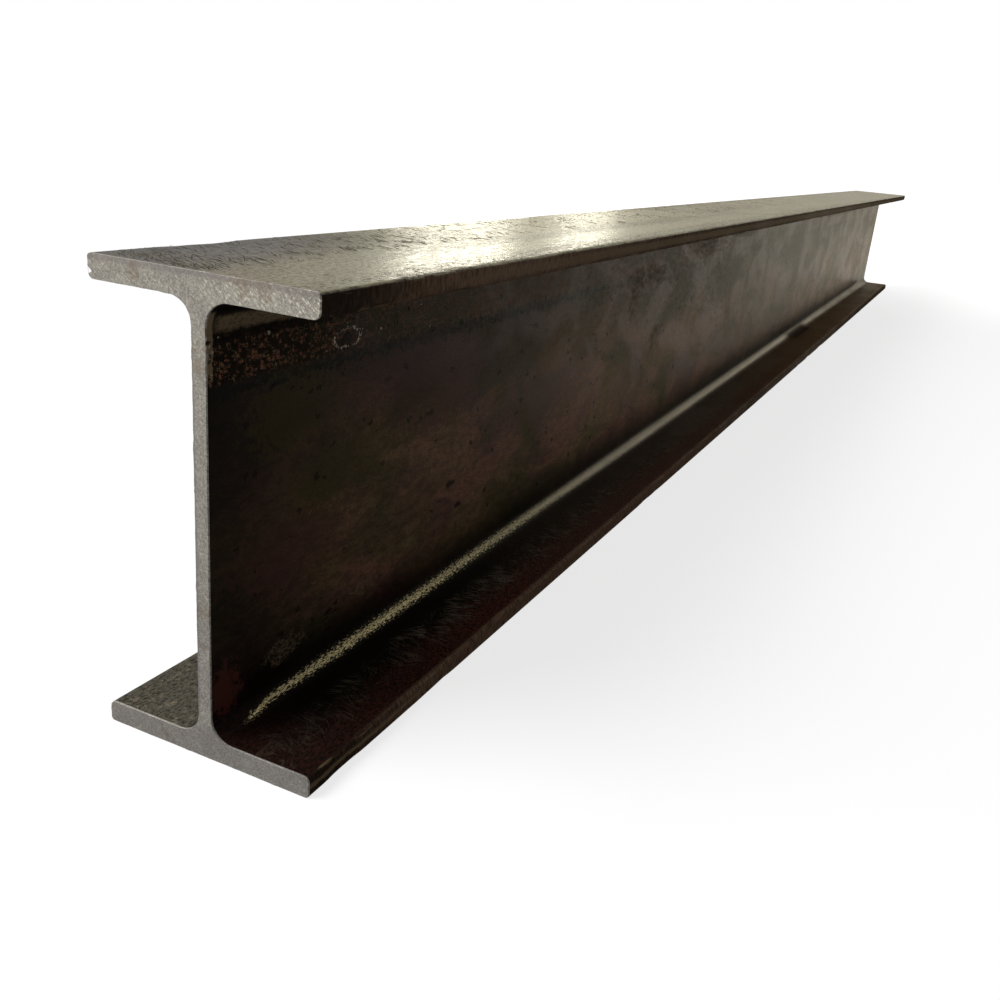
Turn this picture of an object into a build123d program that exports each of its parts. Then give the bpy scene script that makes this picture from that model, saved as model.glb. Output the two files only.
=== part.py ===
"""A stock length of hot-rolled steel beam: an I-shaped section with parallel flanges, sawn square at both ends.

The beam lies along X and stands on its lower flange. The origin is on the floor, under the middle of the
beam: Y runs across the flanges and Z up the web. All sizes are millimetres.
"""

import os

from build123d import *

# The rolled section
section_depth = 140.0  # over both flanges
flange_width = 73.0
flange_thickness = 6.9  # the same from web to toe
web_thickness = 4.7
root_radius = 7.0  # the hollow between web and flange
inner_toe_radius = 2.0  # the flange edge on the web's side
outer_toe_radius = 1.2  # the flange edge on the bearing face

# The stock length
beam_length = 1500.0

# Lines of the outline that follow from the section
web_side = web_thickness / 2
flange_edge = flange_width / 2
lower_flange_top = flange_thickness
upper_flange_underside = section_depth - flange_thickness
clear_depth = upper_flange_underside - lower_flange_top

same_place = 1e-6  # two coordinates closer than this are one


def corners_at(section: BuildSketch, half_width: float, heights: tuple[float, float]) -> ShapeList[Vertex]:
    """The outline's four corners that lie this far either side of the web's middle, at these two heights."""
    return section.vertices().filter_by(
        lambda corner: abs(abs(corner.X) - half_width) < same_place
        and min(abs(corner.Y - height) for height in heights) < same_place
    )


def rolled_section(cut: Plane) -> Sketch:
    """The outline that the rolls leave: two flanges and a web in one, with hollow roots and rounded toes."""
    inner_heights = (lower_flange_top, upper_flange_underside)
    outer_heights = (0.0, section_depth)
    with BuildSketch(cut) as section:
        with Locations((0, flange_thickness / 2), (0, section_depth - flange_thickness / 2)):
            Rectangle(flange_width, flange_thickness)
        with Locations((0, section_depth / 2)):
            Rectangle(web_thickness, clear_depth)
        fillet(corners_at(section, web_side, inner_heights), root_radius)
        fillet(corners_at(section, flange_edge, inner_heights), inner_toe_radius)
        fillet(corners_at(section, flange_edge, outer_heights), outer_toe_radius)
    return section.sketch


def sawn_beam() -> Part:
    """The section drawn out from one sawn end to the other, with the origin under the middle."""
    first_cut = Plane.YZ.offset(-beam_length / 2)
    return extrude(rolled_section(first_cut), amount=beam_length)


beam = sawn_beam()
beam.label = "beam"

os.makedirs("parts", exist_ok=True)
export_step(beam, "parts/beam.step")
print(f"beam: {beam.volume / 1000:.1f} cm3, {beam.bounding_box().size}")
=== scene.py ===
import math
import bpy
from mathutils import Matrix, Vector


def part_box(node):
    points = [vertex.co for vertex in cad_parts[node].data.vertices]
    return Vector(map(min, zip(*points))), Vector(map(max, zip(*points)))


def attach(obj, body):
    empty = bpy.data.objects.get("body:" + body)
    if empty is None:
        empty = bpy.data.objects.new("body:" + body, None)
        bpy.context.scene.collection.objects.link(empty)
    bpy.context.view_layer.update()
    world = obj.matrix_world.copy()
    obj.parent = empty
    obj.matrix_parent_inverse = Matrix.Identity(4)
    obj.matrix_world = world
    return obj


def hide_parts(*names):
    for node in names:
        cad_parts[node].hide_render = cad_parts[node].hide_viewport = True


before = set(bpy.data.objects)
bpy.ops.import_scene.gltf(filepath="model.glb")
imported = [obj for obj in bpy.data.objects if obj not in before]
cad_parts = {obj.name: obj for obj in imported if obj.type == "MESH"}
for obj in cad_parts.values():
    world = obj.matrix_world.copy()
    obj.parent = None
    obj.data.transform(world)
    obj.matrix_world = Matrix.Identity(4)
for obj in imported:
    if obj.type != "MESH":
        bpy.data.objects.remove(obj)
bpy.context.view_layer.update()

from types import SimpleNamespace

import bpy
from mathutils import Matrix, Vector

mm = 0.001
low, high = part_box("beam")
bench = SimpleNamespace(tree=None)   # the node tree that the helpers are adding to


# Helpers for node trees

def addNode(kind, **settings):
    made = bench.tree.nodes.new(kind)
    for name, value in settings.items():
        setattr(made, name, value)
    return made


def feed(socket, value):  # a socket is linked, a plain value is set
    if isinstance(value, bpy.types.NodeSocket):
        bench.tree.links.new(value, socket)
    elif socket.type == "RGBA" and len(value) == 3:
        socket.default_value = (*value, 1)
    else:
        socket.default_value = value


def fitted(kind, inputs, **settings):  # a node with its inputs fed by name or by place
    made = addNode(kind, **settings)
    for label, value in inputs.items():
        feed(made.inputs[label], value)
    return made


def maths(operation, *values, clamp=False):
    return fitted("ShaderNodeMath", dict(enumerate(values)), operation=operation, use_clamp=clamp).outputs[0]


def mathsOf(operation):
    return lambda *values, clamp=False: maths(operation, *values, clamp=clamp)


plus, less, times, over = mathsOf("ADD"), mathsOf("SUBTRACT"), mathsOf("MULTIPLY"), mathsOf("DIVIDE")
timesPlus, unsigned = mathsOf("MULTIPLY_ADD"), mathsOf("ABSOLUTE")


def vectorMaths(operation, *values):
    made = fitted("ShaderNodeVectorMath", dict(enumerate(values)), operation=operation)
    return made.outputs["Value" if operation in ("LENGTH", "DISTANCE", "DOT_PRODUCT") else "Vector"]


def scaled(vector, factor):
    return fitted("ShaderNodeVectorMath", {0: vector, "Scale": factor}, operation="SCALE").outputs[0]


def joined(x, y, z=0.0):
    return fitted("ShaderNodeCombineXYZ", {0: x, 1: y, 2: z}).outputs[0]


def parted(vector):
    return fitted("ShaderNodeSeparateXYZ", {0: vector}).outputs[:3]


def ramp(value, start, end, first=0.0, last=1.0, soft=True):
    return fitted("ShaderNodeMapRange",
                  {"Value": value, "From Min": start, "From Max": end, "To Min": first, "To Max": last},
                  interpolation_type="SMOOTHSTEP" if soft else "LINEAR").outputs[0]


def eased(mask, first, last):  # from first to last as the mask goes from 0 to 1
    return ramp(mask, 0.0, 1.0, first, last)


def between(first, last, share):
    return timesPlus(share, less(last, first), first)


def noise(vector, scale, detail=3.0, rough=0.5, bend=0.0, flat=False):
    return fitted("ShaderNodeTexNoise", {"Vector": vector, "Scale": scale, "Detail": detail, "Roughness": rough,
                                         "Distortion": bend}, noise_dimensions="2D" if flat else "3D").outputs[0]


def pull(vector, scale, detail=2.0, flat=False):  # a random shift, up to a half each way
    made = fitted("ShaderNodeTexNoise", {"Vector": vector, "Scale": scale, "Detail": detail},
                  noise_dimensions="2D" if flat else "3D")
    return vectorMaths("SUBTRACT", made.outputs["Color"], (0.5, 0.5, 0.5))


def pick(index, choices, kind="FLOAT"):  # one of a few values, by number
    made = addNode("GeometryNodeIndexSwitch", data_type=kind)
    while len(made.index_switch_items) < len(choices):
        made.index_switch_items.new()
    feed(made.inputs["Index"], index)
    for place, choice in enumerate(choices):
        feed(made.inputs[place + 1], choice)
    return made.outputs[0]


def shapeTree(name, sizes, finishes=("Finish",)):  # an input for each size and each material
    tree = bench.tree = bpy.data.node_groups.new(name, "GeometryNodeTree")
    kinds = {label: "NodeSocketInt" if isinstance(value, int) else "NodeSocketFloat" for label, value in sizes.items()}
    kinds.update((label, "NodeSocketMaterial") for label in finishes)
    for label, kind in kinds.items():
        tree.interface.new_socket(label, in_out="INPUT", socket_type=kind)
    tree.interface.new_socket("Geometry", in_out="OUTPUT", socket_type="NodeSocketGeometry")
    given = addNode("NodeGroupInput").outputs
    return {label: given[label] for label in kinds}


def growPiece(name, tree, values):  # runs the tree and keeps its result as a plain mesh
    seed = bpy.data.objects.new(name + ".grown", bpy.data.meshes.new(name + ".grown"))
    bpy.context.scene.collection.objects.link(seed)
    modifier = seed.modifiers.new("grow", "NODES")
    modifier.node_group = tree
    for item in tree.interface.items_tree:
        if item.in_out == "INPUT" and item.name in values:
            modifier[item.identifier] = values[item.name]
    seed.update_tag()
    bpy.context.view_layer.update()
    mesh = bpy.data.meshes.new_from_object(seed.evaluated_get(bpy.context.evaluated_depsgraph_get()))
    bpy.data.objects.remove(seed)
    mesh.name = name
    if mesh.materials and not mesh.materials[0]:   # a primitive's empty slot
        mesh.materials.pop(index=0)
    piece = bpy.data.objects.new(name, mesh)
    bpy.context.scene.collection.objects.link(piece)
    return piece


def drawn(low, high, seed, offset, bunch=None):  # a random number for each point, or for each bunch of them
    made = addNode("FunctionNodeRandomValue", data_type="FLOAT")
    if bunch:
        feed(made.inputs["ID"], bunch)
    sockets = [socket for socket in made.inputs if socket.enabled]
    feed(sockets[0], low)
    feed(sockets[1], high)
    feed(made.inputs["Seed"], plus(seed, float(offset)))
    return next(socket for socket in made.outputs if socket.enabled)


def skewed(power, seed, offset, bunch=None):  # a random share, crowded towards 0 by a power over 1
    return maths("POWER", drawn(0.0, 1.0, seed, offset, bunch), power)


def eitherSide(chance, limit):  # 1 above the limit, -1 below it
    return timesPlus(maths("GREATER_THAN", chance, limit), 2.0, -1.0)


def moved(geometry, place, by=False):
    way = "Offset" if by else "Position"
    return fitted("GeometryNodeSetPosition", {"Geometry": geometry, way: place}).outputs[0]


def swept(path, profile, capped=False, size=1.0):
    return fitted("GeometryNodeCurveToMesh",
                  {"Curve": path, "Profile Curve": profile, "Fill Caps": capped, "Scale": size}).outputs[0]


def ringCurve(points, radius):
    return fitted("GeometryNodeCurvePrimitiveCircle", {"Resolution": points, "Radius": radius},
                  mode="RADIUS").outputs[0]


def evenLine(start, end, points):
    line = fitted("GeometryNodeCurvePrimitiveLine", {"Start": start, "End": end}).outputs[0]
    return fitted("GeometryNodeResampleCurve", {"Curve": line, "Count": points}, mode="COUNT").outputs[0]


def scattered(count, place, dark=0.0, pale=1.0):  # points, each with its own tone for the material
    points = fitted("GeometryNodePoints", {"Count": count, "Position": place}).outputs[0]
    return fitted("GeometryNodeStoreNamedAttribute",
                  {"Geometry": points, "Name": "tone", "Value": drawn(dark, pale, 77.0, 0)},
                  data_type="FLOAT", domain="POINT").outputs[0]


def laidOut(points, shape, rotation, size):  # one copy on each point
    laid = fitted("GeometryNodeInstanceOnPoints",
                  {"Points": points, "Instance": shape, "Rotation": rotation, "Scale": size})
    return fitted("GeometryNodeRealizeInstances", {0: laid.outputs[0]}).outputs[0]


def finishedWith(geometry, material, where=True):
    return fitted("GeometryNodeSetMaterial",
                  {"Geometry": geometry, "Selection": where, "Material": material}).outputs[0]


def closed(geometry):  # the tree's last step
    fitted("NodeGroupOutput", {0: geometry})
    return bench.tree


# The rolled beam itself

beamShape = {
    "Depth": high.z - low.z,
    "Width": high.y - low.y,
    "Length": high.x - low.x,
    "Flange": 6.9 * mm,
    "Web": 4.7 * mm,
    "Root": 7.0 * mm,
    "Inner toe": 2.0 * mm,
    "Outer toe": 1.2 * mm,
    "Step": 2.1 * mm,       # between mesh lines across the section
    "Rows": 300,            # mesh lines along the beam
    "Bunching": 0.9,        # 0 spaces the rows evenly, 1 crowds them at the ends
    "Cut edge": 0.14 * mm,  # how far the saw's edge is rounded over
    "Waves": 0.15 * mm,     # unevenness left by the rolls
    "Dents": 0.45 * mm,     # knocks along the toes
    "Nick": 1.4 * mm,       # the one in the near end's upper +Y toe
    "Nick height": 135.3 * mm,
}
shortRun = 2.1 * mm   # a run of the outline under this isn't divided
toeRun = 4.5 * mm     # and one under this is divided more finely


def sectionCurve(given):  # the outline that the rolls leave, as a closed curve in its own plane
    edge = times(given["Width"], 0.5)
    webSide = times(given["Web"], 0.5)
    upperUnder = less(given["Depth"], given["Flange"])

    # twelve corners, six up one side and the same six turned round on the other
    index = addNode("GeometryNodeInputIndex").outputs[0]
    turned = maths("GREATER_THAN", index, 5.5)
    side = timesPlus(turned, -2.0, 1.0)
    corner = maths("MODULO", index, 6.0)
    across = times(pick(corner, [edge, edge, webSide, webSide, edge, edge]), side)
    up = pick(corner, [0.0, given["Flange"], given["Flange"], upperUnder, upperUnder, given["Depth"]])
    up = timesPlus(up, side, times(given["Depth"], turned))
    corners = moved(ringCurve(12, 1.0), joined(times(across, -1.0), times(up, -1.0)))

    # roots and toes are arcs, and the straight runs between them are divided evenly
    toes = (given["Outer toe"], given["Inner toe"])
    radius = pick(corner, [*toes, given["Root"], given["Root"], *toes[::-1]])
    pieces = pick(corner, [4, 5, 9, 9, 5, 4], "INT")
    rounded = fitted("GeometryNodeFilletCurve", {"Curve": corners, "Radius": radius, "Count": pieces},
                     mode="POLY").outputs[0]
    nextPoint = fitted("GeometryNodeOffsetPointInCurve", {"Offset": 1}).outputs["Point Index"]
    here = addNode("GeometryNodeInputPosition").outputs[0]
    there = fitted("GeometryNodeFieldAtIndex", {"Index": nextPoint, "Value": here}, data_type="FLOAT_VECTOR",
                   domain="POINT").outputs[0]
    run = vectorMaths("DISTANCE", here, there)
    cuts = timesPlus(maths("LESS_THAN", run, toeRun), 3.0, maths("FLOOR", over(run, given["Step"])))
    cuts = times(cuts, maths("GREATER_THAN", run, shortRun))
    return fitted("GeometryNodeSubdivideCurve", {"Curve": rounded, "Cuts": cuts}).outputs[0]


def beamTree(sizes):
    given = shapeTree("rolledBeam", sizes, ("Skin", "Worn skin", "Sawn"))
    index = addNode("GeometryNodeInputIndex").outputs[0]
    here = addNode("GeometryNodeInputPosition").outputs[0]
    section = sectionCurve(given)
    halfLength = times(given["Length"], 0.5)
    halfWidth = times(given["Width"], 0.5)

    # the rail lies under the web, its points crowded towards both sawn ends
    share = over(index, less(given["Rows"], 1.0))
    way = timesPlus(share, 2.0, -1.0)
    crowded = maths("SINE", times(way, math.pi / 2))
    graded = fitted("ShaderNodeMix", {0: given["Bunching"], 2: way, 3: crowded}, data_type="FLOAT").outputs[0]
    rail = moved(evenLine((0, 0, 0), (0, 0, 1), given["Rows"]), joined(times(graded, halfLength), 0.0))

    # the open sweep gives the direction straight out of the skin, free of the end faces
    normal = addNode("GeometryNodeInputNormal").outputs[0]
    outward = fitted("GeometryNodeSampleIndex",
                     {"Geometry": swept(rail, section), "Value": normal, "Index": index},
                     data_type="FLOAT_VECTOR", domain="POINT").outputs[0]
    x, y, z = parted(here)
    fromEnd = less(halfLength, unsigned(x))
    atCut = maths("LESS_THAN", fromEnd, 0.01 * mm)
    ragged = ramp(noise(here, 900.0, 2.0), 0.3, 0.7, 0.5, 1.5)
    waves = noise(vectorMaths("MULTIPLY", here, (0.3, 1.0, 1.0)), 22.0, 3.0)
    waves = times(less(waves, 0.75), given["Waves"])
    lift = less(waves, both(atCut, ragged, given["Cut edge"]))
    atToe = ramp(unsigned(y), less(halfWidth, 3 * mm), less(halfWidth, 0.8 * mm))
    knocks = ramp(noise(vectorMaths("MULTIPLY", here, (1.0, 0.4, 1.2)), 26.0, 2.0), 0.6, 0.74)
    offNick = unsigned(less(z, given["Nick height"]))
    nick = both(ramp(plus(x, halfLength), 1.0 * mm, 5 * mm, 1.0, 0.0),
                ramp(offNick, 0.2 * mm, 0.85 * mm, 1.0, 0.0), maths("GREATER_THAN", y, 0.0), given["Nick"])
    pushed = times(atToe, timesPlus(knocks, given["Dents"], nick))
    formed = moved(swept(rail, section, capped=True), scaled(outward, less(lift, pushed)), by=True)

    # the edge of each cut is sharp, the rest is smooth
    smooth = fitted("GeometryNodeSetShadeSmooth", {"Geometry": formed}).outputs[0]
    angle = addNode("GeometryNodeInputMeshEdgeAngle").outputs[0]
    crease = maths("GREATER_THAN", angle, math.radians(50))
    sharp = fitted("GeometryNodeStoreNamedAttribute", {"Geometry": smooth, "Name": "sharp_edge", "Value": crease},
                   data_type="BOOLEAN", domain="EDGE").outputs[0]

    # finish: the sides, the worn upper face and the two cuts
    facing = parted(normal)
    atTop = times(maths("GREATER_THAN", facing[2], 0.5), maths("GREATER_THAN", z, less(given["Depth"], 1.5 * mm)))
    atEnd = maths("GREATER_THAN", unsigned(facing[0]), 0.15)
    last = fitted("GeometryNodeRealizeInstances", {0: sharp}).outputs[0]
    for where, finish in ((True, "Skin"), (atTop, "Worn skin"), (atEnd, "Sawn")):
        last = finishedWith(last, given[finish], where)
    return closed(last)


# Shader groups: each gives only masks, values or colours

def shaderGroup(name, inputs, outputs):
    tree = bench.tree = bpy.data.node_groups.new(name, "ShaderNodeTree")
    for label in inputs:
        kind = "NodeSocketVector" if label in ("Vector", "Middle", "Half size") else "NodeSocketFloat"
        tree.interface.new_socket(label, in_out="INPUT", socket_type=kind)
    for label in outputs:
        tree.interface.new_socket(label, in_out="OUTPUT", socket_type="NodeSocketFloat")
    return addNode("NodeGroupInput").outputs, addNode("NodeGroupOutput").inputs


def placed(group, **values):  # underscores in the names stand for spaces
    made = addNode("ShaderNodeGroup", node_tree=group)
    for label, value in values.items():
        feed(made.inputs[label.replace("_", " ").capitalize()], value)
    return made.outputs if len(made.outputs) > 1 else made.outputs[0]


def blended(amount, first, second, mode="MIX"):
    return fitted("ShaderNodeMix", {0: amount, 6: first, 7: second}, data_type="RGBA", blend_type=mode).outputs[2]


def dimmed(color, light):
    return blended(1.0, color, joined(light, light, light), "MULTIPLY")


def both(*masks):
    mask = masks[0]
    for other in masks[1:]:
        mask = times(mask, other)
    return mask


def either(*masks):
    mask = masks[0]
    for other in masks[1:]:
        mask = maths("MAXIMUM", mask, other)
    return mask


def layered(color, finish, *layers):  # tints over one another, each where all its masks are
    for tint, *masks in layers:
        color = blended(both(*masks), color, finish[tint])
    return color


def band(value, start, end, soft):
    return both(ramp(value, start - soft, start + soft), ramp(value, end - soft, end + soft, 1.0, 0.0))


def stretched(given):  # a group's vector, counted in its own size and stretch
    spread = joined(times(given["Size"], given["Stretch"]), given["Size"], 1.0)
    return vectorMaths("DIVIDE", given["Vector"], spread)


def cloudGroup():  # broad cloudy patches and the finer mottling in them
    given, result = shaderGroup("oxideClouds", ["Vector", "Size", "Stretch"], ["Broad", "Fine"])
    spot = stretched(given)
    feed(result["Broad"], ramp(noise(spot, 1.0, 3.0, 0.55, 0.6, flat=True), 0.32, 0.68))
    feed(result["Fine"], ramp(noise(spot, 9.0, 3.0, 0.7, flat=True), 0.3, 0.7))
    return bench.tree


def speckGroup():  # separate ragged specks, a share of the cells chosen at random
    given, result = shaderGroup("raggedSpecks", ["Vector", "Size", "Stretch", "Share", "Ragged"], ["Mask"])
    spot = stretched(given)
    shift = scaled(pull(spot, 3.0, 1.0, flat=True), given["Ragged"])
    cells = fitted("ShaderNodeTexVoronoi", {"Vector": vectorMaths("ADD", spot, shift), "Scale": 1.0},
                   voronoi_dimensions="2D").outputs
    chance, size = parted(cells["Color"])[:2]
    reach = timesPlus(size, 0.35, 0.15)
    inside = ramp(over(cells["Distance"], reach), 0.6, 1.1, 1.0, 0.0)
    feed(result["Mask"], both(inside, maths("LESS_THAN", chance, given["Share"])))
    return bench.tree


def hairlineGroup():  # fine broken lines: the vector's X counts across them, its Y runs along them
    given, result = shaderGroup("hairlines", ["Vector", "Spacing", "Length", "Lean", "Sway", "Thickness"], ["Mask"])
    across, along = parted(given["Vector"])[:2]
    down = over(along, given["Length"])
    broad = over(across, times(given["Spacing"], 14.0))
    slow = noise(joined(broad, down), 1.0, 0.0, flat=True)
    swayed = times(less(slow, 0.5), given["Sway"])
    leaned = timesPlus(along, given["Lean"], plus(across, swayed))
    spot = joined(over(leaned, given["Spacing"]), down)
    middle = unsigned(less(noise(spot, 1.0, 1.0, 0.6, flat=True), 0.5))
    line = ramp(middle, 0.0, given["Thickness"], 1.0, 0.0)
    broken = ramp(noise(vectorMaths("ADD", spot, (31.0, 7.0, 0.0)), 0.7, 0.0, flat=True), 0.42, 0.6)
    feed(result["Mask"], both(line, broken))
    return bench.tree


def edgeRubGroup():  # bare rubbed lines along the toes of both flanges
    given, result = shaderGroup("edgeRub", ["Vector", "Half width", "Depth", "Flange", "Reach"], ["Mask"])
    along, across, up = parted(given["Vector"])
    inwards = less(given["Half width"], unsigned(across))
    outer = maths("MINIMUM", up, less(given["Depth"], up))
    inner = unsigned(less(outer, given["Flange"]))
    nearest = plus(inwards, maths("MINIMUM", outer, inner))
    spot = joined(along, times(plus(across, up), 9.0))
    uneven = noise(spot, 0.06, 4.0, 0.65, flat=True)
    reach = times(given["Reach"], ramp(uneven, 0.35, 0.65, 0.1, 1.6, soft=False))
    feed(result["Mask"], ramp(over(nearest, reach), 0.7, 1.1, 1.0, 0.0))
    return bench.tree


def patchGroup():  # how far a spot lies from a patch's middle, 1 is on its rim
    given, result = shaderGroup("patchReach", ["Vector", "Middle", "Half size"], ["Far"])
    away = vectorMaths("SUBTRACT", given["Vector"], given["Middle"])
    feed(result["Far"], vectorMaths("LENGTH", vectorMaths("DIVIDE", away, given["Half size"])))
    return bench.tree


oxideClouds, raggedSpecks, hairlines = cloudGroup(), speckGroup(), hairlineGroup()
edgeRub, patchReach = edgeRubGroup(), patchGroup()


def patched(vector, patches, uneven):  # ragged patches on a flat face: middle and half size of each
    nearest = None
    for first, second, along, up in patches:
        far = placed(patchReach, vector=vector, middle=(first, second, 0.0), half_size=(along, up, 1.0))
        nearest = maths("MINIMUM", nearest, far) if nearest else far
    return ramp(plus(nearest, uneven), 0.55, 1.0, 1.0, 0.0)


# Materials

def shade(red, green, blue):  # a colour as a screen shows it, 0 to 255
    return tuple((((part / 255) + 0.055) / 1.055) ** 2.4 for part in (red, green, blue))


def startMaterial(name, level):
    made = bpy.data.materials.new(name)
    made.use_nodes = True
    bench.tree = made.node_tree
    skin = bench.tree.nodes["Principled BSDF"].inputs
    skin["Specular IOR Level"].default_value = level
    millimetres = scaled(addNode("ShaderNodeTexCoord").outputs["Object"], 1000.0)
    return made, skin, millimetres


def addRelief(skin, height):  # height in millimetres
    bump = fitted("ShaderNodeBump", {"Distance": mm, "Height": height})
    feed(skin["Normal"], bump.outputs[0])


halfLength = 750.0   # the materials count in millimetres
halfWidth = 36.5
depth = 140.0
flange = 6.9

scaleFinish = {
    "reddish": shade(64, 43, 38),    # the three casts of the dark skin
    "greenish": shade(59, 52, 34),
    "umber": shade(77, 55, 40),
    "even": shade(64, 55, 47),       # the +Y side is more even
    "plum": shade(66, 36, 36),       # deeper casts of the chosen marks
    "olive": shade(62, 55, 25),
    # dark pits, crumbs and scrapes, and also painted shade by the near cut
    "soot and shade": shade(10, 7, 5),
    "pale fleck": shade(100, 86, 66),
    "glint": shade(150, 136, 116),
    "rust": shade(86, 46, 38),
    "bare": shade(214, 202, 160),    # skin rubbed off down to the steel
    "silver": shade(184, 174, 154),
    "crumbly": shade(130, 86, 66),   # by the near end, below the upper root
    "smudge": shade(62, 38, 24),
    "chalk": shade(198, 187, 158),   # pale smears on the far half of the web
    "tan": shade(126, 108, 82),
    "litLedge": shade(78, 75, 66),      # the lower flange's +Y side: its greyer skin, painted lighter where the light falls
    "toe": shade(44, 32, 24),
    "tip": shade(114, 90, 72),       # the toes' outer faces, worn brown along the near half
    "comb": shade(84, 73, 62),       # fine strokes across the lower flange
    "far brown": shade(86, 60, 26),
    "shine": 0.036,
}

scalePlaces = {   # from and to: x runs from -750 at the near cut to 750, z up from the floor
    "rolled in z": (111.0, 124.5),       # the band of rolled-in scale below the upper root
    "crumbly x": (-715.0, -670.0),       # crumbly up to here, drawn out beyond
    "border z": (107.4, 110.6),          # a dark line below that band
    "border fades x": (-520.0, -300.0),
    "shadow z": ((121.8, 124.4), (129.4, 134.0)),
    "upper line z": (124.8, 128.6),
    "strip z": (112.5, 130.0),           # bare steel at the web's cut edge
    "broken x": (105.0, 200.0),          # here the bright band in the lower root is brown
    "combed y": (15.0, 29.0),
    "thin line": (-8.6, -7.7),           # a faint second line over the root, in distance from the web less height
    "upper streak z": (134.8, 137.8),    # bare streaks on the toes' outer faces
    "low streak z": (2.8, 4.2),
}

webMarks = {   # on the web's -Y side: middle x and z, half length and half height
    "pale": [(-716, 21.5, 11, 5), (-672, 26, 12, 3)],
    "chalk": [(-20, 88, 62, 11), (-126, 99, 18, 11), (-12, 122, 80, 4), (44, 70, 28, 9), (380, 100, 60, 10),
              (410, 62, 40, 10)],
    "dark": [(-662, 98, 3, 1.2), (-632, 80, 4, 1.2), (-612, 47, 5, 1.5), (-604, 36, 3, 1.4), (-687, 115, 5, 2.4)],
    "red": [(-744, 20, 8, 9)],
    "smudge": [(-252, 118, 62, 8), (-150, 123, 50, 5), (330, 128, 330, 8), (-386, 109, 46, 7), (-408, 95, 8, 13),
               (-360, 72, 9, 9)],
    "purple": [(-712, 54, 34, 15), (-628, 92, 50, 22)],
    "green": [(-714, 97, 24, 16), (-690, 74, 40, 12)],
}
markFinish = {   # the tint of each kind and how strongly it shows
    "pale": ("pale fleck", 0.75),
    "chalk": ("chalk", 0.13),
    "dark": ("soot and shade", 0.85),
    "red": ("rust", 0.5),
    "smudge": ("smudge", 0.42),
    "purple": ("plum", 0.42),
    "green": ("olive", 0.42),
}


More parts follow.
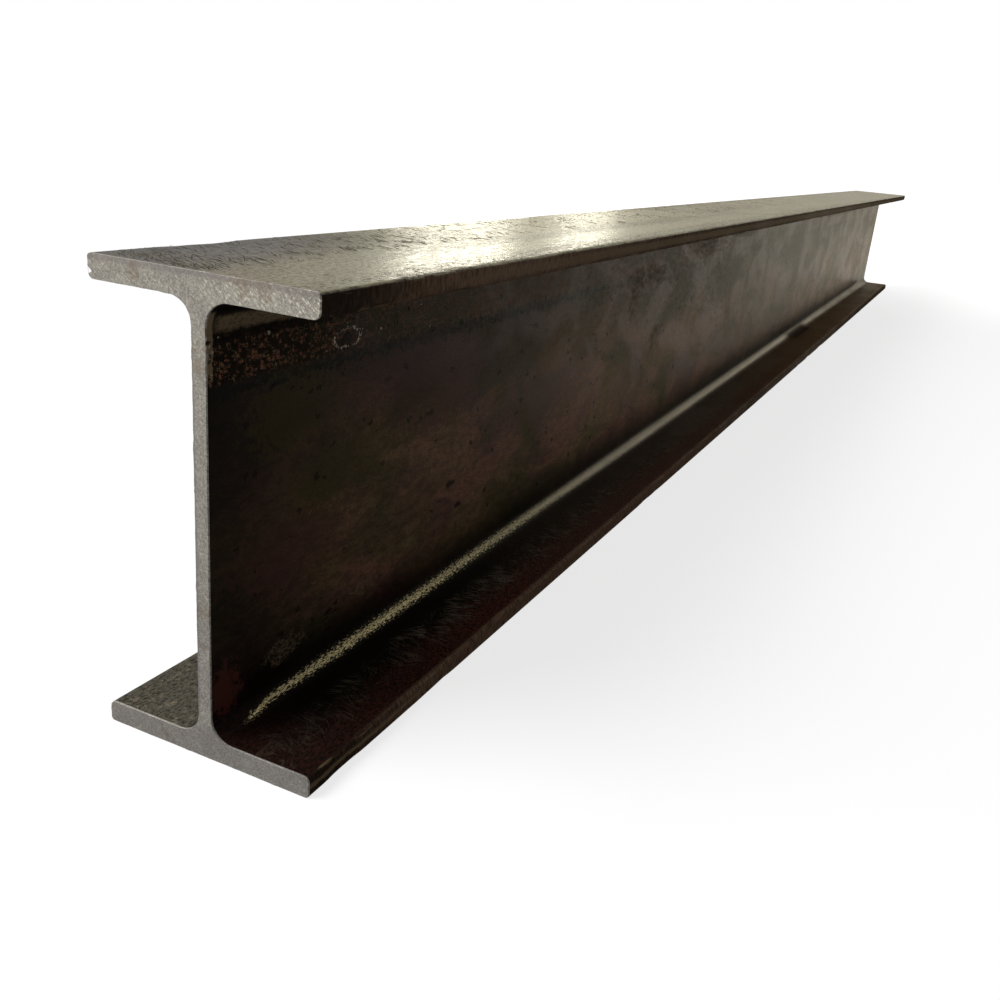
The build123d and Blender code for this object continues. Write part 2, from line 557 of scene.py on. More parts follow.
def millScaleMaterial(finish, places):
    made, skin, spot = startMaterial("millScale", finish["shine"])
    x, y, z = parted(spot)
    side = unsigned(y)
    lowSide = maths("LESS_THAN", y, 0.0)
    sheet = joined(x, plus(y, z))   # the skin laid flat: y counts on flanges, z on the web
    grain = noise(vectorMaths("MULTIPLY", sheet, (0.4, 1.0, 0.0)), 1.4, 3.0, 0.75, flat=True)
    ragged = less(noise(sheet, 0.35, 4.0, 0.75, flat=True), 0.5)
    fromCut = less(halfLength, unsigned(x))
    onWeb = ramp(side, 3.0, 6.0, 1.0, 0.0)
    onLower = ramp(z, 9.0, 14.0, 1.0, 0.0)
    onView = both(onLower, lowSide)   # the lower flange's side that shows

    def shaken(value, amount):  # the same value with an uneven edge
        return timesPlus(ragged, amount, value)

    # cloudy casts of the skin, with short pale dashes drawn out along the beam
    clouds = placed(oxideClouds, vector=sheet, size=26.0, stretch=2.4)
    casts = placed(oxideClouds, vector=vectorMaths("ADD", sheet, (310.0, 70.0, 0.0)), size=36.0, stretch=1.5)["Broad"]
    color = blended(casts, finish["reddish"], finish["greenish"])
    color = layered(color, finish, ("umber", clouds["Broad"], 0.5), ("even", ramp(y, -1.0, 1.0, 0.0, 0.65)))
    contrast = eased(onWeb, 2.6, 1.5)
    # painted light and shade: the ramps along x and z make the skin darker by the near cut and down at the foot of the
    # web and the lower flange, and lighter towards the far end; the clouds and grain are the skin's own
    color = dimmed(color, both(
        eased(clouds["Fine"], 0.78, 1.22), eased(clouds["Broad"], 0.78, 1.16),
        timesPlus(less(grain, 0.5), contrast, 1.0),
        ramp(x, -750.0, -640.0, 0.2, 1.1), ramp(x, -200.0, 650.0, 1.0, 2.2),
        ramp(x, -560.0, -440.0, 1.0, 1.4), ramp(x, -250.0, 0.0, 1.0, 0.75),
        ramp(z, 12.0, 32.0, 0.15, 1.0), ramp(z, 62.0, 106.0, 1.7, 0.9)))
    pits = placed(raggedSpecks, vector=sheet, size=2.8, stretch=1.5, share=0.035, ragged=0.9)

    # rolled-in scale below the upper root: dark and crumbly by the near end, then drawn out along the beam
    byTheCut = ramp(shaken(x, 50.0), *places["crumbly x"], 1.0, 0.0)
    rolled = both(band(shaken(z, 4.0), *places["rolled in z"], 0.8), onWeb)
    crumbs = placed(raggedSpecks, vector=sheet, size=1.5, stretch=1.2, share=0.6, ragged=1.4)
    ridges = placed(hairlines, vector=sheet, spacing=1.5, length=1.6, lean=0.3, sway=2.0, thickness=0.05)
    drawnOut = placed(hairlines, vector=joined(z, x), spacing=1.1, length=26.0, lean=0.0, sway=1.0, thickness=0.07)
    border = both(band(shaken(z, 15.0), *places["border z"], 0.5), onWeb,
                  ramp(shaken(x, 90.0), *places["border fades x"], 1.0, 0.25))
    color = layered(
        color, finish, ("soot and shade", rolled, byTheCut, 0.3),
        ("crumbly", rolled, eased(byTheCut, 0.5, 0.9), crumbs),
        ("tan", rolled, ridges, byTheCut, ramp(clouds["Fine"], 0.2, 0.8, 0.15, 0.95)),
        ("pale fleck", rolled, drawnOut, less(1.0, byTheCut), 0.45), ("soot and shade", border, 0.95))

    # chosen marks on the side that shows
    flat = joined(x, z)
    for kind, (tint, share) in markFinish.items():
        uneven = times(ragged, 1.8 if kind in ("chalk", "smudge") else 2.2)
        patch = both(patched(flat, webMarks[kind], uneven), lowSide, onWeb, share)
        if kind == "pale":
            patch = both(patch, ramp(grain, 0.42, 0.62))
        elif kind == "smudge":
            smudged = patch = both(patch, eased(clouds["Fine"], 0.5, 1.0))
        color = layered(color, finish, (tint, patch))

    # the lower flange: rust towards the toe, strokes across it, and a +Y ledge painted lighter where the light falls
    towardsToe = both(onLower, ramp(shaken(side, 26.0), 19.0, 28.0))
    # the rust thins out by the near cut, painted shade there
    rusty = both(towardsToe, ramp(grain, 0.43, 0.53), ramp(x, -500.0, -100.0, 1.0, 0.6),
                 ramp(x, -745.0, -620.0, 0.16, 1.0))
    atCut = both(onView, ramp(shaken(x, 30.0), -738.0, -715.0, 0.16, 0.0), ramp(grain, 0.4, 0.6))
    combed = placed(hairlines, vector=joined(x, side), spacing=1.0, length=5.0, lean=0.6, sway=14.0, thickness=0.08)
    combed = both(combed, onLower, band(shaken(side, 12.0), *places["combed y"], 3.0),
                  ramp(x, -745.0, -600.0, 0.3, 1.0), ramp(x, -350.0, 100.0, 1.0, 0.3))
    greyer = both(ramp(x, -640.0, -520.0, 0.0, 0.3), ramp(x, -300.0, 0.0, 1.0, 0.0), ramp(grain, 0.35, 0.6, 0.3, 1.0))
    litLedge = both(onLower, ramp(y, 6.0, 10.0))
    # the soot layer on the lower flange's shown side, strongest by the near cut, is painted shade
    color = layered(
        color, finish, ("soot and shade", pits, onWeb, 0.75), ("soot and shade", onView, ramp(x, -620.0, -300.0, 0.86, 0.0)),
        ("rust", either(rusty, atCut)), ("soot and shade", towardsToe, crumbs, 0.7), ("comb", combed),
        ("comb", onView, greyer), ("far brown", onView, ramp(x, -400.0, 300.0, 0.0, 0.8)),
        ("litLedge", litLedge, ramp(grain, 0.36, 0.56, 0.2, 1.0)), ("glint", litLedge, crumbs, clouds["Fine"], 0.45),
        ("soot and shade", litLedge, pits, 0.7))

    # the lower root: a bright band that starts as a point, partly burnished by the rolls and partly a painted highlight
    # along the fillet
    slope = less(side, z)
    reach = plus(ramp(fromCut, 12.0, 70.0, 1.4, 2.5), ramp(fromCut, 120.0, 420.0, 0.0, 3.4))
    crisp = ramp(fromCut, 110.0, 330.0, 1.0, 0.0)
    middleLine = plus(ramp(fromCut, 10.0, 26.0, 2.3, 4.8), ramp(fromCut, 110.0, 200.0, 0.0, 0.8))
    offMiddle = unsigned(plus(shaken(slope, 2.4), middleLine))
    core = less(1.0, over(offMiddle, reach))
    speckled = times(less(grain, 0.5), eased(crisp, 0.5, 5.0))
    inRoot = ramp(plus(core, speckled), eased(crisp, 0.0, 0.1), 0.9)
    started = ramp(shaken(fromCut, 14.0), 11.0, 16.0)
    broken = band(shaken(x, 60.0), *places["broken x"], 14.0)
    thinLine = both(band(shaken(slope, 1.5), *places["thin line"], 0.35), onLower, started,
                    ramp(shaken(x, 160.0), -590.0, -520.0))
    burnishAndHighlight = both(inRoot, onLower, started, less(1.0, both(broken, 0.85)), ramp(x, 150.0, 420.0, 1.0, 0.35))
    burnishAndHighlight = either(burnishAndHighlight, both(thinLine, 0.25))
    brown = both(band(shaken(slope, 5.0), -5.0, 7.0, 2.0), onView, broken)
    color = layered(color, finish, ("toe", brown, 0.85))
    # painted shadow: dark bands under the upper root by the near cut
    for start, end in places["shadow z"]:
        color = layered(color, finish, ("soot and shade", band(shaken(z, 2.0), start, end, 0.5),
                                        ramp(side, 8.0, 10.0, 1.0, 0.0), byTheCut, 0.85))

    # worn toes, and the bare lines by the near cut
    rub = placed(edgeRub, vector=spot, half_width=halfWidth, depth=depth, flange=flange, reach=1.1)
    strip = both(band(z, *places["strip z"], 0.6), lowSide, onWeb, ramp(shaken(x, 1.6), -747.6, -747.2, 1.0, 0.0))
    upperLine = both(band(shaken(z, 2.0), *places["upper line z"], 0.7), onWeb, lowSide,
                     ramp(fromCut, 2.0, 6.0), ramp(fromCut, 28.0, 60.0, 0.8, 0.0),
                     ramp(grain, 0.36, 0.5, 0.4, 1.0))
    tip = ramp(side, 34.6, 36.2)
    upperStreak = both(tip, band(shaken(z, 1.6), *places["upper streak z"], 0.7),
                       ramp(shaken(x, 60.0), -705.0, -640.0), ramp(x, -640.0, -400.0, 0.3, 0.6))
    lowStreak = both(tip, band(shaken(z, 1.6), *places["low streak z"], 0.5),
                     ramp(shaken(x, 60.0), -715.0, -670.0, 1.0, 0.0), 0.5)
    middle = both(ramp(shaken(x, 60.0), -742.0, -680.0), ramp(x, -100.0, 350.0, 1.0, 0.0),
                  ramp(timesPlus(onLower, -240.0, x), -640.0, -440.0, 1.0, 0.3))
    scraped = noise(joined(x, times(z, 0.2)), 1.1, 1.0, 0.8, flat=True)   # up the toes
    rubbed = both(rub, eased(onLower, 0.35, 0.55))
    color = layered(color, finish, ("toe", tip, 0.7), ("tip", tip, middle, 0.8),
                    ("soot and shade", tip, ramp(scraped, 0.45, 0.62), 0.55),
                    ("tan", either(rubbed, both(strip, 0.9), upperLine, upperStreak, lowStreak)))

    metal = blended(ramp(fromCut, 120.0, 350.0), finish["bare"], finish["silver"])
    glitter = timesPlus(less(grain, 0.5), eased(crisp, 1.3, 4.6), eased(crisp, 1.15, 0.7), clamp=True)
    feed(skin["Base Color"], blended(burnishAndHighlight, color, dimmed(metal, glitter)))
    feed(skin["Metallic"], both(either(burnishAndHighlight, both(rub, 0.3)), ramp(fromCut, 90.0, 260.0, 0.6, 0.2)))
    farOff = ramp(x, -450.0, 100.0)
    rough = plus(both(clouds["Fine"], eased(farOff, 0.1, 0.03)),
                 eased(casts, eased(farOff, 0.27, 0.29), eased(farOff, 0.38, 0.35)))
    matt = either(both(rolled, byTheCut, 0.5), both(towardsToe, 0.6), both(smudged, 0.6), brown,
                  both(onView, ramp(slope, 0.0, 4.0), ramp(x, -250.0, 150.0, 0.0, 0.5)),
                  both(tip, ramp(x, 0.0, 600.0, 0.8, 1.3)))
    feed(skin["Roughness"], timesPlus(matt, 0.4, rough))

    # relief: grain all over, deeper in the rolled-in band and the root, and pits
    deeper = either(both(band(z, *places["rolled in z"], 1.5),
                         ramp(x, *places["crumbly x"], 1.0, 0.0)), band(slope, -8.0, 1.0, 1.0))
    height = times(grain, eased(both(deeper, onWeb), 0.04, 0.25))
    addRelief(skin, timesPlus(pits, -0.12, height))
    return made


topFinish = {
    "grey": shade(80, 80, 68),
    "brown": shade(81, 71, 63),
    "dark": shade(28, 25, 21),
    "pale": shade(134, 131, 110),
    "straw": shade(154, 147, 117),
    "blue": shade(74, 74, 84),
    "blue corner": (-745, 40, 110, 46),   # the near +Y corner: middle x and y, half length and half width
    "shine": 0.08,
}


def wornScaleMaterial(finish):
    made, skin, spot = startMaterial("wornScale", finish["shine"])
    x, y = parted(spot)[:2]
    grain = noise(vectorMaths("MULTIPLY", spot, (0.7, 1.0, 0.0)), 0.9, 3.0, 0.75, flat=True)
    ragged = less(noise(spot, 0.3, 3.0, 0.7, flat=True), 0.5)

    def worn(value, amount, *limits):  # a ramp with an uneven edge
        return ramp(timesPlus(ragged, amount, value), *limits)

    clouds = placed(oxideClouds, vector=spot, size=22.0, stretch=3.0)
    streaks = placed(hairlines, vector=joined(y, x), spacing=1.3, length=70.0, lean=0.0, sway=1.5, thickness=0.06)
    dim = both(worn(y, 40.0, -10.0, 30.0), worn(x, 80.0, -700.0, -560.0, 1.0, 0.0))
    strip = both(worn(y, 9.0, -15.5, -9.0, 1.0, 0.0), worn(y, 5.0, -29.0, -25.0, 0.45, 1.0),
                 worn(x, 40.0, -715.0, -640.0, 0.15, 1.0), worn(x, 120.0, -460.0, -180.0, 1.0, 0.12))
    specks = placed(raggedSpecks, vector=spot, size=1.5, stretch=1.4, share=0.35, ragged=1.1)
    specks = both(specks, worn(unsigned(y), 14.0, 24.0, 31.0))
    pits = placed(raggedSpecks, vector=spot, size=5.0, stretch=1.6, share=0.05, ragged=1.0)
    paintedGlow = both(worn(y, 20.0, -8.0, 4.0), worn(x, 120.0, -650.0, -560.0),
                   ramp(x, -420.0, -250.0, 1.0, 0.0))   # painted highlight: yellowish and mottled beside the strip, where the first window mirrors
    corner = patched(joined(x, y), [finish["blue corner"]], ragged)
    rub = placed(edgeRub, vector=spot, half_width=halfWidth, depth=depth, flange=flange, reach=1.0)

    color = blended(clouds["Broad"], finish["brown"], finish["grey"])
    color = layered(color, finish, ("pale", clouds["Fine"], 0.3), ("straw", paintedGlow, 0.35))
    # painted light: the ramps along x make the top lighter from x -420 on and darker again past 0; the grain and clouds
    # are its own
    color = dimmed(color, both(ramp(grain, 0.3, 0.7, 0.4, 1.5),
                               eased(clouds["Broad"], 0.84, 1.14),
                               ramp(x, -420.0, -240.0, 1.0, 1.35), ramp(x, 0.0, 350.0, 1.0, 0.68)))
    color = layered(
        color, finish, ("pale", either(both(strip, 0.4), both(streaks, 0.3))),
        ("dark", either(both(dim, 0.6), both(specks, 0.75), both(pits, 0.55))),
        ("blue", corner, 0.6), ("pale", rub, 0.6))
    feed(skin["Base Color"], color)
    feed(skin["Metallic"], both(either(rub, both(strip, 0.5)), 0.4))
    rough = both(eased(clouds["Fine"], 0.35, 0.44), ramp(x, -350.0, 450.0, 1.0, 0.8))
    for mask, amount in ((either(specks, both(dim, 0.6)), 0.25),
                         (less(grain, 0.45), ramp(x, -300.0, 200.0, -0.35, -0.15)),
                         (paintedGlow, -0.01), (strip, -0.03)):
        rough = timesPlus(mask, amount, rough)
    feed(skin["Roughness"], rough)
    addRelief(skin, timesPlus(pits, -0.1, times(grain, 0.07)))
    return made


sawnFinish = {
    "steel": shade(151, 148, 143),
    "smear": shade(122, 117, 117),
    "gleam": shade(228, 224, 210),
    "stain": shade(112, 92, 72),
    "shine": 0.3,
}


def sawnMaterial(finish):
    made, skin, spot = startMaterial("sawnSteel", finish["shine"])
    y, z = parted(spot)[1:]
    face = joined(y, z)
    ragged = less(noise(face, 0.3, 3.0, 0.7, flat=True), 0.5)
    grain = noise(face, 1.6, 3.0, 0.7, flat=True)
    clouds = placed(oxideClouds, vector=face, size=9.0, stretch=1.0)
    onTop = ramp(z, depth - flange - 5.0, depth - flange + 1.0)
    onBottom = ramp(z, flange, flange + 9.0, 1.0, 0.0)
    marks = placed(hairlines, vector=face, spacing=0.45, length=5.0, lean=-1.0, sway=2.0,
                   thickness=0.09)   # the blade's teeth
    crossing = placed(hairlines, vector=face, spacing=0.5, length=6.0, lean=0.9, sway=2.0, thickness=0.08)
    slanted = joined(plus(y, z), less(y, z))
    flecks = placed(raggedSpecks, vector=slanted, size=1.0, stretch=2.4, share=0.5, ragged=0.9)
    stains = placed(raggedSpecks, vector=face, size=7.0, stretch=1.0, share=0.12, ragged=1.2)
    gleams = both(either(flecks, both(marks, 0.7), both(crossing, 0.4)),
                  either(both(onTop, ramp(y, -8.0, 4.0, 1.0, 0.45)), 0.42),
                  ramp(clouds["Fine"], 0.1, 0.7, 0.2, 1.0),
                  less(1.0, both(onBottom, 0.35)))
    upperEdge = ramp(timesPlus(ragged, 2.0, z), depth - 2.0, depth - 1.2)
    burrShadeEdge = both(ramp(y, 1.2, 1.9), band(z, 14.0, depth - 14.0, 3.0))   # painted shade of the burr along the web's +Y edge

    color = blended(both(clouds["Broad"], 0.5), finish["steel"], finish["smear"])
    color = dimmed(color, ramp(grain, 0.3, 0.7, 0.7, 1.32))
    color = layered(color, finish, ("smear", onBottom, 0.35), ("gleam", gleams, 0.72),
                    ("smear", either(upperEdge, burrShadeEdge), 0.6), ("stain", stains, 0.35))
    feed(skin["Base Color"], color)
    feed(skin["Metallic"], eased(clouds["Fine"], 0.6, 0.4))
    feed(skin["Roughness"], eased(gleams, 0.5, 0.36))
    addRelief(skin, timesPlus(marks, -0.015, times(grain, 0.02)))
    return made


looseFinish = {
    "scale": {"dark": shade(30, 23, 18), "light": shade(178, 168, 150), "share": 0.7, "shade at cut": 0.8, "shine": 0.1},
    "rust": {"dark": shade(36, 17, 12), "light": shade(84, 52, 40), "share": 0.4, "shade at cut": 0.35, "shine": 0.05},
    "tuft": {"dark": shade(20, 17, 14), "light": shade(132, 120, 103), "share": 0.38, "shade at cut": 0.12, "shine": 0.05},
    "strand": {"dark": shade(40, 37, 31), "light": shade(104, 98, 84), "share": 0.5, "shade at cut": 0.8, "shine": 0.06},
}


def looseMaterial(name, finish):  # small loose things, each its own tone
    made, skin, spot = startMaterial(name, finish["shine"])
    tone = addNode("ShaderNodeAttribute", attribute_name="tone").outputs["Fac"]
    grain = noise(spot, 1.8, 3.0, 0.7)
    x = parted(spot)[0]
    chosen = ramp(timesPlus(grain, 0.5, tone), finish["share"] + 0.1, finish["share"] + 0.4)
    # darker towards the near cut: painted shade; the grain is the pieces' own
    light = both(ramp(grain, 0.3, 0.7, 0.6, 1.4), ramp(x, -748.0, -650.0, finish["shade at cut"], 1.0))
    feed(skin["Base Color"], dimmed(blended(chosen, finish["dark"], finish["light"]), light))
    feed(skin["Roughness"], eased(chosen, 0.65, 0.42))
    addRelief(skin, times(grain, 0.1))
    return made


millScale = millScaleMaterial(scaleFinish, scalePlaces)
looseScale = looseMaterial("looseScale", looseFinish["scale"])
rustCrumbs = looseMaterial("rustCrumbs", looseFinish["rust"])
paleTufts = looseMaterial("paleTufts", looseFinish["tuft"])
darkStrands = looseMaterial("darkStrands", looseFinish["strand"])
wornScale = wornScaleMaterial(topFinish)
sawnSteel = sawnMaterial(sawnFinish)
print("materials made")


def dress(piece):
    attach(piece, "root")
    print(piece.name, "made:", len(piece.data.vertices), "points,", len(piece.data.polygons), "faces")


beam = growPiece("rolled_beam", beamTree(beamShape),
                 {**beamShape, "Skin": millScale, "Worn skin": wornScale, "Sawn": sawnSteel})
dress(beam)
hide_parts("beam")


# Loose scale: small curled plates that stand off the web below the upper root

looseShape = {
    "Count": 130,
    "Ring count": 64,
    "First x": -749.0 * mm,
    "Last x": -380.0 * mm,
    "Low z": 111.5 * mm,
    "High z": 124.0 * mm,
    "Ring x": -687.0 * mm,     # a chip whose rim stands up in a ring
    "Ring z": 115.3 * mm,
    "Ring length": 7.4 * mm,
    "Ring height": 2.9 * mm,
    "Web face": 2.33 * mm,
    "Smallest": 0.5 * mm,
    "Largest": 1.7 * mm,
    "Thickness": 0.16,         # share of its length
    "Torn": 0.9 * mm,
    "Seed": 4,
}


def looseTree(sizes):
    given = shapeTree("looseScale", sizes)
    index = addNode("GeometryNodeInputIndex").outputs[0]
    here = addNode("GeometryNodeInputPosition").outputs[0]
    seed = given["Seed"]

    # along the band, crowded towards the cut, most of them on the -Y side
    alongX = between(given["First x"], given["Last x"], skewed(3.0, seed, 1))
    side = eitherSide(drawn(0.0, 1.0, seed, 2), 0.7)
    spread = scattered(given["Count"], joined(alongX, times(side, given["Web face"]),
                                              drawn(given["Low z"], given["High z"], seed, 3)), pale=0.85)

    # the ring round the chip
    turn = over(times(index, math.tau), given["Ring count"])
    uneven = drawn(0.86, 1.1, seed, 4)
    ringX = times(maths("COSINE", turn), times(given["Ring length"], uneven))
    ringZ = times(maths("SINE", turn), times(given["Ring height"], uneven))
    ring = scattered(given["Ring count"], joined(plus(ringX, given["Ring x"]),
                                                 times(given["Web face"], -1.0),
                                                 plus(ringZ, given["Ring z"])), dark=0.6)
    points = addNode("GeometryNodeJoinGeometry")
    for some in (spread, ring):
        feed(points.inputs[0], some)

    # one plate, domed, lying in its own XY plane
    plate = fitted("GeometryNodeMeshCube", {"Size": joined(1.0, 0.75, given["Thickness"]),
                                            "Vertices X": 4, "Vertices Y": 3, "Vertices Z": 2}).outputs["Mesh"]
    lengthwise, crosswise = parted(here)[:2]
    dome = plus(times(lengthwise, lengthwise), times(crosswise, crosswise))
    curled = moved(plate, joined(0.0, 0.0, times(dome, -0.6)), by=True)
    outwards = timesPlus(maths("LESS_THAN", crosswise, 0.0), math.pi, -math.pi / 2)
    rotation = joined(plus(outwards, drawn(-0.3, 0.3, seed, 5)),
                      drawn(0.0, math.tau, seed, 6), drawn(-0.35, 0.35, seed, 7))
    size = between(given["Smallest"], given["Largest"], skewed(2.5, seed, 8))
    plates = laidOut(points.outputs[0], curled, rotation, joined(size, size, size))

    # no two outlines are alike
    shift = vectorMaths("MULTIPLY", pull(here, 1400.0), (1.0, 0.3, 1.0))
    torn = moved(plates, scaled(shift, given["Torn"]), by=True)
    return closed(finishedWith(torn, given["Finish"]))


# Rust crumbs on the lower flange, thickest towards its toes

crumbShape = {
    "Count": 1500,
    "Half length": 748.0 * mm,
    "Inner y": 12.0 * mm,
    "Outer y": 34.6 * mm,
    "Flange top": 6.88 * mm,
    "Smallest": 0.16 * mm,
    "Largest": 0.6 * mm,
    "Seed": 9,
}


def crumbTree(sizes):
    given = shapeTree("rustCrumbs", sizes)
    seed = given["Seed"]
    alongX = drawn(times(given["Half length"], -1.0), given["Half length"], seed, 1)
    reach = between(given["Inner y"], given["Outer y"], skewed(0.45, seed, 2))
    side = eitherSide(drawn(0.0, 1.0, seed, 3), 0.5)
    spread = scattered(given["Count"], joined(alongX, times(side, reach), given["Flange top"]))
    crumb = fitted("GeometryNodeMeshIcoSphere", {"Radius": 0.5, "Subdivisions": 1}).outputs["Mesh"]
    size = between(given["Smallest"], given["Largest"], skewed(3.0, seed, 5))
    crumbs = laidOut(spread, crumb, joined(0.0, 0.0, drawn(0.0, math.tau, seed, 4)),
                     joined(times(size, 1.5), size, times(size, 0.6)))
    return closed(finishedWith(crumbs, given["Finish"]))


# Thin curved slivers: pale tufts of scratches on the lower flange, dark strands of skin on the upper one

tuftShape = {
    "Count": 1300,
    "In a tuft": 9,
    "First x": -745.0 * mm,
    "Last x": -340.0 * mm,
    "Crowding": 1.3,           # 1 spreads them evenly, more crowds them towards the near end
    "First y": -26.5 * mm,
    "Last y": -16.0 * mm,
    "Lift": 6.9 * mm,
    "Shortest": 3.0 * mm,
    "Longest": 10.0 * mm,
    "Broad": 0.15 * mm,
    "Thick": 0.1 * mm,
    "Turn": math.radians(94),  # from the beam's length
    "Spread": math.radians(40),
    "Fan": math.radians(16),   # how far the slivers of one tuft lean apart
    "Apart": 2.6 * mm,
    "Bend": 3.0 * mm,
    "Seed": 3,
}
strandShape = {
    **tuftShape,
    "Count": 1700,
    "In a tuft": 4,
    "Last x": 40.0 * mm,
    "Crowding": 2.4,
    "First y": -1.0 * mm,
    "Last y": 33.0 * mm,
    "Lift": 140.0 * mm,
    "Longest": 9.0 * mm,
    "Broad": 0.3 * mm,
    "Turn": math.radians(55),
    "Spread": math.radians(14),
    "Fan": math.radians(7),
    "Apart": 3.0 * mm,
    "Seed": 21,
}
nearLimit = -749.6 * mm   # no sliver reaches past these
sideLimit = 35.2 * mm


def sliverTree(sizes):
    given = shapeTree("slivers", sizes)
    here = addNode("GeometryNodeInputPosition").outputs[0]
    index = addNode("GeometryNodeInputIndex").outputs[0]
    seed = given["Seed"]

    # one sliver of unit length, thick in the middle
    fromMiddle = unsigned(parted(here)[0])
    sliver = swept(evenLine((-0.5, 0, 0), (0.5, 0, 0), 7), ringCurve(4, 0.5), capped=True,
                   size=ramp(fromMiddle, 0.0, 0.5, 1.0, 0.12))

    # the tufts, and the slivers about the middle of each
    tuft = maths("FLOOR", over(index, given["In a tuft"]))
    share = skewed(given["Crowding"], seed, 1, tuft)
    alongX = timesPlus(drawn(-1.0, 1.0, seed, 6), given["Apart"], between(given["First x"], given["Last x"], share))
    across = timesPlus(drawn(-1.0, 1.0, seed, 7), given["Apart"],
                       drawn(given["First y"], given["Last y"], seed, 2, tuft))
    turn = timesPlus(drawn(-1.0, 1.0, seed, 3, tuft), given["Spread"], given["Turn"])
    turn = timesPlus(drawn(-1.0, 1.0, seed, 8), given["Fan"], turn)
    finer = ramp(alongX, -0.68, -0.3, 1.0, 0.32)
    long = between(given["Shortest"], given["Longest"], skewed(1.5, seed, 4))
    long = times(long, finer)
    broad = times(drawn(0.4, 1.0, seed, 5), times(given["Broad"], finer))
    laid = laidOut(scattered(given["Count"], joined(alongX, across, given["Lift"])), sliver,
                   joined(0.0, 0.0, turn), joined(long, broad, given["Thick"]))

    # bent, and held on the flat of the flange
    shift = vectorMaths("MULTIPLY", pull(here, 70.0, 1.0), (1.0, 0.6, 0.0))
    x, y, z = parted(vectorMaths("ADD", here, scaled(shift, given["Bend"])))
    held = maths("MINIMUM", maths("MAXIMUM", y, -sideLimit), sideLimit)
    bent = moved(laid, joined(maths("MAXIMUM", x, nearLimit), held, z))
    return closed(finishedWith(bent, given["Finish"]))


# The burr that the saw leaves round both cuts

inset = 0.15 * mm   # the wire's middle lies this far inside the steel
burrShape = {
    **{name: beamShape[name] - 2 * inset for name in ("Depth", "Width", "Length", "Flange", "Web")},
    **{name: beamShape[name] - inset for name in ("Inner toe", "Outer toe")},
    "Root": beamShape["Root"] + inset,
    "Inset": inset,
    "Step": 0.9 * mm,
    "Hidden": 0.04 * mm,     # where there is no burr the wire stays out of sight
    "Proud": 0.28 * mm,
}


def burrTree(sizes):
    given = shapeTree("sawBurr", sizes)
    here = addNode("GeometryNodeInputPosition").outputs[0]
    outline = sectionCurve(given)
    halfway = times(given["Length"], 0.5)
    across, up = parted(here)[:2]
    rings = addNode("GeometryNodeJoinGeometry")
    for end in (-1.0, 1.0):
        feed(rings.inputs[0], moved(outline, joined(times(halfway, end), across, less(given["Inset"], up))))
    thick = ramp(noise(here, 130.0, 4.0, 0.7), 0.5, 0.68, given["Hidden"], given["Proud"], soft=False)
    burr = swept(rings.outputs[0], ringCurve(5, 1.0), size=thick)
    return closed(finishedWith(burr, given["Finish"]))


dress(growPiece("loose_scale", looseTree(looseShape), {**looseShape, "Finish": looseScale}))
dress(growPiece("rust_crumbs", crumbTree(crumbShape), {**crumbShape, "Finish": rustCrumbs}))
dress(growPiece("pale_tufts", sliverTree(tuftShape), {**tuftShape, "Finish": paleTufts}))
dress(growPiece("dark_strands", sliverTree(strandShape), {**strandShape, "Finish": darkStrands}))
dress(growPiece("saw_burr", burrTree(burrShape), {**burrShape, "Finish": sawnSteel}))


# Camera

cameraView = {
    "place": (-0.94357, -0.17279, 0.17804),
    "towards": (0.85761, 0.38355, -0.34264),
    "up": (0.27435, 0.22234, 0.93557),
    "lens": 36.218,
    "sensor": 36.0,
}


def addCamera(view):
    camera = bpy.data.objects.new("camera", bpy.data.cameras.new("camera"))
    bpy.context.scene.collection.objects.link(camera)
    back = -Vector(view["towards"]).normalized()
    right = Vector(view["up"]).cross(back).normalized()
    turn = Matrix((right, back.cross(right), back)).transposed().to_4x4()
    camera.matrix_world = Matrix.Translation(view["place"]) @ turn
    camera.data.lens = view["lens"]
    camera.data.sensor_width = view["sensor"]
    camera.data.clip_start = 0.01
    bpy.context.scene.camera = camera


addCamera(cameraView)
print("camera placed")


# Floor, sky and lamps

studio = {
    "sky": 0.3,             # what the white surroundings give to matt surfaces, 1 is white
    "floor": 0.26,          # how much of its light the floor gives back
    "floor reach": 30.0,
    "floor glow": 0.75,     # what the camera sees on top of that, so that the floor in full light is white
    "mirrored": (1, 0.935, 0.745),   # what glossy surfaces see of the white surroundings
    "dull spot": (-0.62, -0.12, 0),  # there the floor mirrors darker, which keeps the near end of the web dark
    "dull": 0.2,
    "dull reach": 0.7,
    "dark side": (-0.5, -0.33),      # how far to -Y a mirrored ray leans where the sky is darkest and where it is white
    "lit round": (-0.4, 0.1, 0),     # the floor is lit best round here, and further off it fades to plain white
    "white from": 0.75,
    "white by": 1.7,
}

softKey = {"place": (-2.1, 1.5, 2.25), "aim": (-0.2, 0, 0.05), "size": (1.6, 1.6), "power": 105, "color": (1, 1, 1)}
windows = [                 # two low, narrow boxes that the upper flange mirrors
    {"bearing": 28.0, "rise": 0.45, "size": (0.42, 0.9), "power": 11.4, "color": (1, 0.96, 0.79)},
    {"bearing": 20.9, "rise": 0.45, "size": (0.20, 0.9), "power": 4.3, "color": (1, 0.96, 0.79)},
]
windowAway = 4   # from the camera, in metres
windowAim = (-0.6, 0, 0.14)


def lightPath(mirrored):  # the rays, those that see the white surroundings, and what colour they see
    rays = addNode("ShaderNodeLightPath").outputs
    seen = either(rays["Is Camera Ray"], either(rays["Is Glossy Ray"], rays["Is Transmission Ray"]))
    return rays, seen, blended(rays["Is Glossy Ray"], (1, 1, 1), mirrored)


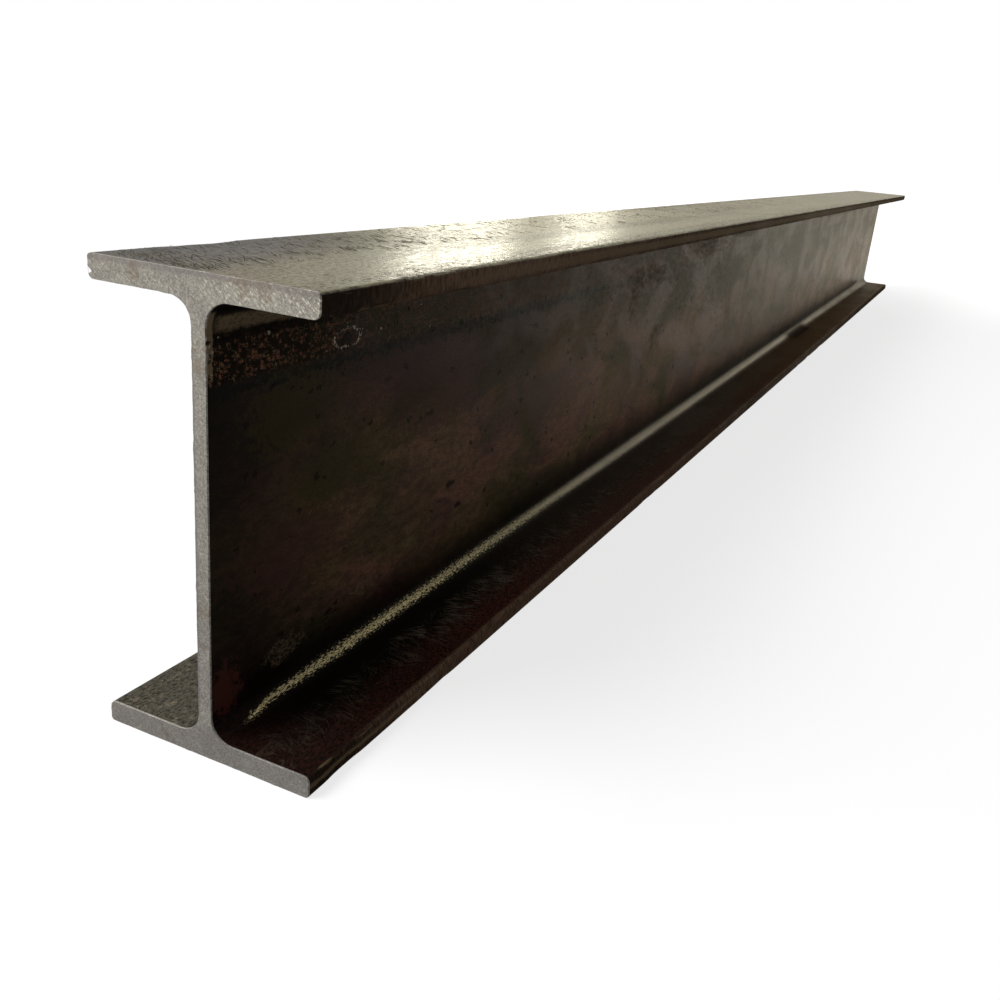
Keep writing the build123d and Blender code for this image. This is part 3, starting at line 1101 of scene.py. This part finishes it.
def addSky(values):
    world = bpy.data.worlds.new("studio")
    bpy.context.scene.world = world
    world.use_nodes = True
    bench.tree = world.node_tree
    sky = bench.tree.nodes["Background"].inputs
    rays, seen, white = lightPath(values["mirrored"])
    lean = parted(addNode("ShaderNodeTexCoord").outputs["Generated"])[1]
    dark = both(rays["Is Glossy Ray"], ramp(lean, *values["dark side"], 0.95, 0.0))
    feed(sky["Color"], white)
    feed(sky["Strength"], both(less(1.0, dark), ramp(seen, 0.0, 1.0, values["sky"], 1.0, soft=False)))


def addFloor(values):
    reach = values["floor reach"]
    mesh = bpy.data.meshes.new("floor")
    mesh.from_pydata([(-reach, -reach, 0), (reach, -reach, 0), (reach, reach, 0), (-reach, reach, 0)], [],
                     [(0, 1, 2, 3)])
    floor = bpy.data.objects.new("floor", mesh)
    bpy.context.scene.collection.objects.link(floor)
    pale = bpy.data.materials.new("paleFloor")
    pale.use_nodes = True
    bench.tree = pale.node_tree
    paint = bench.tree.nodes["Principled BSDF"].inputs
    grey = values["floor"]
    spot = addNode("ShaderNodeTexCoord").outputs["Object"]
    rays, seen, white = lightPath(values["mirrored"])
    camera = rays["Is Camera Ray"]
    away = vectorMaths("DISTANCE", spot, values["lit round"])
    glow = ramp(away, values["white from"], values["white by"], values["floor glow"], 1.0)
    apart = vectorMaths("DISTANCE", spot, values["dull spot"])
    dulled = ramp(apart, 0.1, values["dull reach"], values["dull"], 1.0)
    strength = plus(both(camera, glow), both(less(seen, camera), both(glow, dulled)))
    for label, value in {"Base Color": (grey, grey, grey), "Roughness": 1.0, "Specular IOR Level": 0.0,
                         "Emission Color": white, "Emission Strength": strength}.items():
        feed(paint[label], value)
    mesh.materials.append(pale)


def addLamp(name, place, aim, size, power, color):
    light = bpy.data.lights.new(name, "AREA")
    light.shape = "RECTANGLE"
    light.size, light.size_y = size
    light.energy = power
    light.color = color
    lamp = bpy.data.objects.new(name, light)
    bpy.context.scene.collection.objects.link(lamp)
    back = (Vector(place) - Vector(aim)).normalized()
    lamp.matrix_world = Matrix.Translation(place) @ back.to_track_quat("Z", "Y").to_matrix().to_4x4()
    lamp.visible_camera = False


addSky(studio)
addFloor(studio)
addLamp("softKey", **softKey)
near = Vector(cameraView["place"])
for number, window in enumerate(windows):
    turn = math.radians(window["bearing"])
    place = (near.x + windowAway * math.cos(turn), near.y + windowAway * math.sin(turn), window["rise"])
    addLamp(f"window{number + 1}", place, windowAim, window["size"], window["power"], window["color"])
print("studio lit")

bpy.context.scene.view_settings.view_transform = "Standard"
